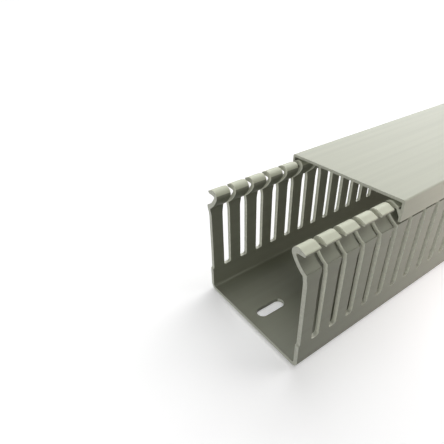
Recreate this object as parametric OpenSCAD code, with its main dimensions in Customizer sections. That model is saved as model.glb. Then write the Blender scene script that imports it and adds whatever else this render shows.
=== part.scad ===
// Slotted wiring duct: an open-topped trough whose walls are cut into fingers, each finger
// ending in a hook, and a cover that snaps over the hooks and slides along them.
// X runs along the duct from its near end, Y across it, Z up from the mounting face.

/* [Duct] */
// Length of the trough and of its cover
duct_length = 1000; // [200:10:2000]
// Width over the outer faces of the walls
duct_width = 60; // [40:1:120]
// Height of the shoulder where a wall ends and its hooks begin
shoulder_height = 48.2; // [35:0.1:100]
// Thickness of the walls
wall = 1.9; // [1.5:0.1:2.3]
// Thickness of the floor
floor_thickness = 1.8; // [1.4:0.1:2.6]
// Outer radius where a wall meets the floor
corner_radius = 3; // [2.4:0.1:5]

/* [Wall slots] */
// Distance from one wall slot to the next
slot_pitch = 10; // [8:0.5:14]
// Width of a wall slot below its neck
slot_width = 4; // [3:0.1:5]
// Width of the neck between two hooks
neck_width = 2.7; // [1.6:0.1:3]
// Height of the slot bottoms above the mounting face
slot_bottom = 12.5; // [8:0.5:20]
// Radius in the bottom corners of a slot
slot_corner = 1; // [0.4:0.1:1.4]
// Depth of the neck's lower end below the shoulder
neck_depth = 0.6; // [0.4:0.1:3]
// Height over which a slot narrows to its neck
neck_run = 5; // [3:0.1:7]
// Distance from the near end to the middle of the first whole slot
first_slot = 8.7; // [6:0.1:12]

/* [Hooks] */
// Thickness of a hook's web
hook_thickness = 1.9; // [1.6:0.05:2.1]
// Reach of a hook inwards from the wall's outer face
hook_reach = 7.7; // [7.2:0.1:8.4]
// Outer radius of the bend at the top of a hook
bend_radius = 2.8; // [2.6:0.1:3]
// Height of the bend's centre above the shoulder
bend_rise = 6; // [5.8:0.1:6.6]
// Inner radius of the web that sweeps from the wall up to the bend
web_radius = 17; // [15:0.5:20]
// Lean of the web away from upright where it meets the bend, in degrees
web_lean = 28; // [26:1:31]
// Radius at the end of the hollow inside the bend
hollow_radius = 0.7; // [0.5:0.05:0.9]
// Height of the hollow's top above the shoulder
hollow_rise = 6.3; // [6:0.1:6.6]
// Slope of the lip's top down towards its tip, in degrees
lip_droop = 24; // [18:1:28]
// Radius of the lip's tip
lip_tip = 0.7; // [0.5:0.05:0.9]

/* [Mounting slots] */
// Overall length of a mounting slot
mount_length = 15; // [10:0.5:25]
// Width of a mounting slot
mount_width = 5.5; // [4:0.1:8]
// Distance from one mounting slot to the next
mount_pitch = 100; // [50:5:200]
// Distance from the near end to the middle of the first mounting slot
first_mount = 12.8; // [10:0.1:30]

/* [Cover] */
// Distance the cover is slid along the duct, away from its near end
cover_shift = 51.2; // [0:0.1:150]
// Thickness of the cover's flat top
cover_top = 1.3; // [1:0.1:2.4]
// Thickness of the cover's skirts
cover_skirt = 1.1; // [0.9:0.1:1.5]
// Radius along the cover's outer edges
cover_radius = 1; // [0.6:0.1:1.8]
// Reach of the snap bead inside each skirt
bead_reach = 1.6; // [1:0.1:2]
// Height of the snap bead
bead_height = 3.4; // [3:0.1:4]
// Radius of the snap bead's nose
bead_nose = 0.5; // [0.3:0.1:0.7]
// Clearance between the cover and the hooks
clearance = 0.3; // [0.2:0.05:0.5]

/* [Hidden] */
$fn = 96;
past = 1;
// How far curves that run into each other cross, so that they never only touch
crossing = 0.01;

// Places in a wall's own plane, as [distance in from its outer face, height]
function turn(radius, angle) = [radius * cos(angle), radius * sin(angle)];

// The bend at the top of a hook, and the wider arc of the web that runs into it
bend = [hook_reach - bend_radius, shoulder_height + bend_rise];
web = bend - turn(web_radius - bend_radius, -web_lean);
web_foot_angle = acos((wall * 2 / 3 - web.x) / web_radius);

// The end of the hollow between web and lip, where the web's outer face runs into it
hollow_gap = web_radius - hook_thickness - hollow_radius;
hollow_angle = asin((web.y - shoulder_height - hollow_rise + hollow_radius) / hollow_gap);
hollow = web + turn(hollow_gap, -hollow_angle);

// The lip slopes down from the top of the bend and ends just inside the cover's skirt. Places
// in it are [distance along its top from the bend's centre, height above that centre].
lip_angle = 90 + lip_droop;
function in_lip(place) = bend + turn(place.x, lip_angle + 90) + turn(place.y, lip_angle);

lip_root = in_lip([0, bend_radius - lip_tip]);
lip_run = (lip_root.x - cover_skirt - clearance - lip_tip) / cos(lip_droop);
lip_end = in_lip([lip_run, bend_radius - lip_tip]);
hook_top = bend.y + bend_radius;

// Its underside is the line that touches the hollow from above and the tip from below
lip_back = lip_end - hollow;
under_angle = atan2(lip_back.y, lip_back.x) + asin((lip_tip + hollow_radius) / norm(lip_back));

// The cover's underside and its skirts clear the hooks, and its snap beads catch below the lips
cover_height = hook_top + clearance + cover_top;
web_clear_radius = web_radius - hook_thickness - clearance;
skirt_bottom = web.y - sqrt(pow(web_clear_radius, 2) - pow(cover_skirt - web.x, 2));
bead_top = lip_end.y - lip_tip - clearance;
bead_foot = [cover_skirt, bead_top - bead_height];
bead_centre = [cover_skirt + bead_reach - bead_nose, bead_top - bead_nose];
bead_back = bead_foot - bead_centre;
bead_angle = atan2(bead_back.y, bead_back.x) + acos(bead_nose / norm(bead_back));

neck_height = shoulder_height - neck_depth;

slot_count = ceil((duct_length - first_slot + slot_width / 2) / slot_pitch);
last_slot = first_slot + (slot_count - 1) * slot_pitch;
mount_count = floor((duct_length - first_mount - mount_length) / mount_pitch) + 1;

// A flat shape, drawn as [across, height], run along X for a length
module run_along(length) {
    rotate([90, 0, 90]) linear_extrude(height = length) children();
}

// A flat shape, drawn as [along, height], cut through both walls
module cut_across() {
    rotate([90, 0, 0]) linear_extrude(height = duct_width + 2 * past, center = true) children();
}

// A flat shape in a wall's own plane, at the -Y wall and mirrored at the +Y wall
module at_both_walls() {
    for (side = [0, 1])
        mirror([side, 0]) translate([-duct_width / 2, 0]) children();
}

// An upright block with its two top corners rounded
module round_topped(width, low, high, radius) {
    translate([-width / 2, low]) square([width, high - low - radius]);
    translate([radius - width / 2, low]) square([width - 2 * radius, high - low]);
    for (side = [-1, 1])
        translate([side * (width / 2 - radius), high - radius]) circle(radius);
}

// Floor and walls up to the shoulders
module channel_section() {
    inner_radius = corner_radius - min(wall, floor_thickness);
    difference() {
        mirror([0, 1]) round_topped(duct_width, -shoulder_height, 0, corner_radius);
        mirror([0, 1])
            round_topped(duct_width - 2 * wall, -shoulder_height - past, -floor_thickness, inner_radius);
    }
}

// The slice of a disc that the web's arc bounds, widened by a few degrees at both sides
module web_slice(radius, widen = 0) {
    from = widen - web_lean;
    to = -web_foot_angle - widen;
    translate(web) intersection() {
        circle(radius);
        polygon([[0, 0], for (step = [0 : 3]) turn(2 * web_radius, from + (to - from) * step / 3)]);
    }
}

// Web and bend of a hook, opening outwards: their outer outline less the hollow and the mouth
module web_section() {
    difference() {
        union() {
            web_slice(web_radius - crossing);
            translate(bend) circle(bend_radius);
        }
        web_slice(web_radius - hook_thickness - crossing, 0.5);
        translate(hollow) circle(hollow_radius);
        polygon([
            hollow,
            lip_root,
            in_lip([2 * bend_radius, 2 * bend_radius]),
            in_lip([2 * bend_radius, -bend_radius])
        ]);
    }
}

// The lip starts inside the bend and tapers to its tip, which is a round of its own
module lip_section() {
    touch = hollow_radius - crossing;
    polygon([
        hollow + turn(touch, under_angle - 90) - turn(hollow_radius, under_angle),
        lip_end + turn(lip_tip - crossing, under_angle + 90),
        lip_end + turn(lip_tip - crossing, lip_angle),
        in_lip([0.1, bend_radius - crossing]),
        in_lip([-bend_radius / 5, bend_radius - 0.1 - crossing])
    ]);
}

// A wall slot seen from the side: rounded bottom corners, curved shoulders, neck to the top
module slot_outline() {
    low = neck_height - neck_run;
    mirror([0, 1]) round_topped(slot_width, -low, -slot_bottom, slot_corner);
    polygon([
        for (side = [-1, 1], step = [0 : 4])
            let (t = side < 0 ? step / 4 : 1 - step / 4)
                [side * (neck_width + (slot_width - neck_width) * (1 + cos(180 * t)) / 2) / 2,
                    low + neck_run * t]
    ]);
    translate([-neck_width / 2, neck_height])
        square([neck_width, hook_top + past - neck_height]);
}

// The far end's cut may run through a slot beyond its neck: the hook left over there hangs
// on nothing, so it goes with the offcut
module last_hook_outline() {
    if (last_slot + slot_width / 2 >= duct_length)
        translate([last_slot, neck_height - neck_run]) square([slot_width, hook_top]);
}

module mount_outline() {
    ends = (mount_length - mount_width) / 2;
    square([2 * ends, mount_width], center = true);
    for (side = [-1, 1])
        translate([side * ends, 0]) circle(mount_width / 2);
}

module trough() {
    color([0.62, 0.62, 0.55]) difference() {
        union() {
            run_along(duct_length) channel_section();
            run_along(duct_length) at_both_walls() web_section();
            run_along(duct_length) at_both_walls() lip_section();
            run_along(duct_length) at_both_walls() translate(lip_end) circle(lip_tip);
        }
        for (i = [-1 : slot_count - 1])
            translate([first_slot + i * slot_pitch, 0, 0]) cut_across() slot_outline();
        cut_across() last_hook_outline();
        for (i = [0 : mount_count - 1])
            translate([first_mount + i * mount_pitch, 0, -past])
                linear_extrude(height = floor_thickness + 2 * past) mount_outline();
    }
}

// Snap bead: a flat top that catches below the lips, a rounded nose and a ramp
module bead_section() {
    polygon([
        [cover_skirt / 2, bead_foot.y],
        bead_foot,
        bead_centre + turn(bead_nose, bead_angle),
        bead_centre,
        bead_centre + [0, bead_nose],
        [cover_skirt / 2, bead_top]
    ]);
    translate(bead_centre) circle(bead_nose);
}

module cover_section() {
    inner_radius = max(cover_radius - cover_skirt, 0.2);
    difference() {
        round_topped(duct_width, skirt_bottom, cover_height, cover_radius);
        round_topped(
            duct_width - 2 * cover_skirt, skirt_bottom - past, cover_height - cover_top, inner_radius
        );
    }
    at_both_walls() bead_section();
}

module cover() {
    color([0.72, 0.72, 0.66])
        translate([cover_shift, 0, 0]) run_along(duct_length) cover_section();
}

trough();
cover();
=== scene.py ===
"""Looks of the slotted wire duct: materials, floor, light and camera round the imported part."""

from math import radians

import bpy
from mathutils import Euler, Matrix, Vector

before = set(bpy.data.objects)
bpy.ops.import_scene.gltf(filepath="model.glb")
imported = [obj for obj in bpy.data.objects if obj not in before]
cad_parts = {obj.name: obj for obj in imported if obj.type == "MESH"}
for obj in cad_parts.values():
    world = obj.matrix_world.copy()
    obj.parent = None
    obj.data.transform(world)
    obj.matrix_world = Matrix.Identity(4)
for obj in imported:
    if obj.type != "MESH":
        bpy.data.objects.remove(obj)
scene = bpy.context.scene


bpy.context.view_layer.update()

# Heights in the trough, in metres: the middle of the slots' bottoms with how far their rounded
# corners reach from it, and where the tops of the hooks begin
SLOT_BOTTOM, SLOT_BOTTOM_REACH = 0.0130, 0.0006
HOOK_TOPS = 0.0535

WHITE = (1, 1, 1)
WARM = (1, 0.88, 0.88)


# Materials ---------------------------------------------------------------------------------


def pvc(name, colour, cut_colour, hook_highlight, roughness, seed):
    """Rigid extruded PVC: one grey with faint streaks along the extrusion and a fine surface
    grain. Sawn and punched faces take the cut colour. The tops of the hooks, over which the cover slides,
    are the first colour times the highlight factor: a painted highlight for the light from above, not wear."""
    material = bpy.data.materials.new(name)
    material.use_nodes = True
    nodes, links = material.node_tree.nodes, material.node_tree.links
    shader = nodes["Principled BSDF"]
    shader.inputs["Roughness"].default_value = roughness
    shader.inputs["IOR"].default_value = 1.5
    shader.inputs["Specular IOR Level"].default_value = 0.3

    def math(kind, *values):
        node = nodes.new("ShaderNodeMath")
        node.operation = kind
        for socket, value in zip(node.inputs, values):
            if isinstance(value, (int, float)):
                socket.default_value = value
            else:
                links.new(value, socket)
        return node.outputs["Value"]

    def noise(scale, detail, stretch=(1, 1, 1)):
        drawn = nodes.new("ShaderNodeMapping")
        drawn.inputs["Location"].default_value = (seed, 0.7 * seed, 0.3 * seed)
        drawn.inputs["Scale"].default_value = stretch
        links.new(place.outputs["Object"], drawn.inputs["Vector"])
        node = nodes.new("ShaderNodeTexNoise")
        node.inputs["Scale"].default_value = scale
        node.inputs["Detail"].default_value = detail
        links.new(drawn.outputs["Vector"], node.inputs["Vector"])
        return node.outputs["Fac"]

    def ramp(value, stops):
        node = nodes.new("ShaderNodeValToRGB")
        for stop, (at, shade) in zip(node.color_ramp.elements, stops):
            stop.position = at
            stop.color = (*shade, 1)
        links.new(value, node.inputs["Fac"])
        return node.outputs["Color"]

    def blend(first, second, factor):
        node = nodes.new("ShaderNodeMix")
        node.data_type = "RGBA"
        first_colour, second_colour, mixed_colour = node.inputs[6], node.inputs[7], node.outputs[2]
        links.new(factor, node.inputs["Factor"])
        links.new(first, first_colour)
        links.new(second, second_colour)
        return mixed_colour

    def shades(base, low, high):
        return [(0.3, [low * value for value in base]), (0.7, [high * value for value in base])]

    place = nodes.new("ShaderNodeTexCoord")
    facing = nodes.new("ShaderNodeSeparateXYZ")
    links.new(place.outputs["Normal"], facing.inputs["Vector"])
    height = nodes.new("ShaderNodeSeparateXYZ")
    links.new(place.outputs["Object"], height.inputs["Vector"])

    # Faces across the duct are sawn or punched, and so are the bottoms of the wall slots
    across = math("GREATER_THAN", math("ABSOLUTE", facing.outputs["X"]), 0.6)
    upward = math("GREATER_THAN", facing.outputs["Z"], 0.3)
    level = math("COMPARE", height.outputs["Z"], SLOT_BOTTOM, SLOT_BOTTOM_REACH)
    cut = math("MAXIMUM", across, math("MULTIPLY", upward, level))

    # Painted highlight: upward faces above the height of the hook tops are made paler, for the light that
    # falls on them from above
    painted_highlight_mask = math("MULTIPLY", upward, math("GREATER_THAN", height.outputs["Z"], HOOK_TOPS))

    draw = noise(1, 3, (4, 260, 260))
    skin = ramp(draw, shades(colour, 0.95, 1.04))
    # the paler colour of the painted highlight on the hook tops
    highlight_colour = ramp(draw, shades(colour, 0.93 * hook_highlight, 1.05 * hook_highlight))
    raw = ramp(noise(900, 3), shades(cut_colour, 0.90, 1.08))
    finish = blend(blend(skin, highlight_colour, painted_highlight_mask), raw, cut)
    links.new(finish, shader.inputs["Base Color"])

    bump = nodes.new("ShaderNodeBump")
    bump.inputs["Strength"].default_value = 0.12
    bump.inputs["Distance"].default_value = 0.00004
    links.new(noise(2500, 2), bump.inputs["Height"])
    links.new(bump.outputs["Normal"], shader.inputs["Normal"])
    return material


def finish_with(node, material):
    """Puts the material in every slot of a CAD node."""
    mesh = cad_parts[node].data
    if not mesh.materials:
        mesh.materials.append(material)
    for index in range(len(mesh.materials)):
        mesh.materials[index] = material


# The trough and the cover are the same PVC, but the trough's colour is written darker than the cover's:
# painted shade for its shaded walls
shaded_duct_pvc = pvc(
    "duct PVC painted darker",
    colour=(0.28, 0.29, 0.22),
    cut_colour=(0.70, 0.71, 0.60),
    # painted highlight: the hook tops are 2.1 times paler than the trough's colour
    hook_highlight=2.1,
    roughness=0.40,
    seed=1,
)
cover_pvc = pvc(
    "cover PVC",
    colour=(0.46, 0.475, 0.375),
    cut_colour=(0.62, 0.63, 0.53),
    # no painted highlight on the cover
    hook_highlight=1.0,
    roughness=0.46,
    seed=5,
)
finish_with("trough", shaded_duct_pvc)
finish_with("cover", cover_pvc)


# Stage -------------------------------------------------------------------------------------


def seen_or_mirrored(nodes, links):
    """1 for what the camera sees straight, in a reflection or through glass, otherwise 0."""
    ray = nodes.new("ShaderNodeLightPath")
    total = ray.outputs["Is Camera Ray"]
    for kind in ("Is Glossy Ray", "Is Transmission Ray"):
        both = nodes.new("ShaderNodeMath")
        both.operation = "MAXIMUM"
        links.new(total, both.inputs[0])
        links.new(ray.outputs[kind], both.inputs[1])
        total = both.outputs["Value"]
    return total


def shader_node(nodes, kind, colour, **values):
    node = nodes.new(kind)
    node.inputs["Color"].default_value = (*colour, 1)
    for name, value in values.items():
        node.inputs[name].default_value = value
    return node


def choose(nodes, links, plain, seen, output):
    either = nodes.new("ShaderNodeMixShader")
    links.new(seen_or_mirrored(nodes, links), either.inputs["Fac"])
    links.new(plain, either.inputs[1])
    links.new(seen, either.inputs[2])
    links.new(either.outputs["Shader"], output.inputs["Surface"])


# The floor looks white and keeps the shadow, yet throws little light back at the duct
pale = bpy.data.materials.new("pale floor")
pale.use_nodes = True
nodes, links = pale.node_tree.nodes, pale.node_tree.links
nodes.remove(nodes["Principled BSDF"])
bounce = shader_node(nodes, "ShaderNodeBsdfDiffuse", (0.3, 0.3, 0.3))
lit = shader_node(nodes, "ShaderNodeBsdfDiffuse", (0.9, 0.9, 0.9))
glow = shader_node(nodes, "ShaderNodeEmission", WHITE, Strength=0.35)
white = nodes.new("ShaderNodeAddShader")
links.new(lit.outputs["BSDF"], white.inputs[0])
links.new(glow.outputs["Emission"], white.inputs[1])
choose(nodes, links, bounce.outputs["BSDF"], white.outputs["Shader"], nodes["Material Output"])

bpy.ops.mesh.primitive_plane_add(size=12, location=(0.5, 0, -0.0002))
floor = bpy.context.object
floor.name = "floor"
floor.data.materials.append(pale)

world = bpy.data.worlds.new("studio")
scene.world = world
world.use_nodes = True
nodes, links = world.node_tree.nodes, world.node_tree.links
nodes.remove(nodes["Background"])
dim = shader_node(nodes, "ShaderNodeBackground", WHITE, Strength=0.04)
bright = shader_node(nodes, "ShaderNodeBackground", WHITE, Strength=1)
choose(nodes, links, dim.outputs[0], bright.outputs[0], nodes["World Output"])


def sun(name, azimuth, elevation, strength, angle):
    """A soft lamp a long way off, shining from this direction, in degrees."""
    lamp = bpy.data.lights.new(name, "SUN")
    lamp.energy = strength
    lamp.angle = radians(angle)
    body = bpy.data.objects.new(name, lamp)
    scene.collection.objects.link(body)
    body.rotation_euler = Euler((0, radians(90 - elevation), radians(azimuth)))


def strip(name, low, high, width, aim, strength, colour=WHITE):
    """A long soft lamp along the duct, from one place to another, facing an (across, height)."""
    low, high = Vector(low), Vector(high)
    lamp = bpy.data.lights.new(name, "AREA")
    lamp.shape = "RECTANGLE"
    lamp.size = high.x - low.x
    lamp.size_y = width
    lamp.energy = strength
    lamp.color = colour
    body = bpy.data.objects.new(name, lamp)
    scene.collection.objects.link(body)
    body.location = (low + high) / 2
    away = body.location - Vector((body.location.x, *aim))
    body.rotation_mode = "QUATERNION"
    body.rotation_quaternion = away.to_track_quat("Z", "Y")
    body.visible_camera = False


sun("window", azimuth=-5, elevation=50, strength=1.5, angle=50)
sun("side window", azimuth=35, elevation=35, strength=1.9, angle=60)
sun("end fill", azimuth=198, elevation=6, strength=1.3, angle=30)
strip("strip", (0.07, -0.10, 0.05), (1.0, -0.10, 0.05), 0.06, aim=(-0.03, 0.03), strength=0.32, colour=WARM)


# Camera ------------------------------------------------------------------------------------

lens = bpy.data.cameras.new("camera")
lens.sensor_width = 36
lens.lens = 30.54
lens.clip_start = 0.01
lens.clip_end = 20
camera = bpy.data.objects.new("camera", lens)
camera.location = (-0.07523, -0.09306, 0.13090)
camera.rotation_euler = (radians(57.38), radians(1.85), radians(-35.08))
scene.collection.objects.link(camera)
scene.camera = camera

scene.view_settings.view_transform = "Standard"
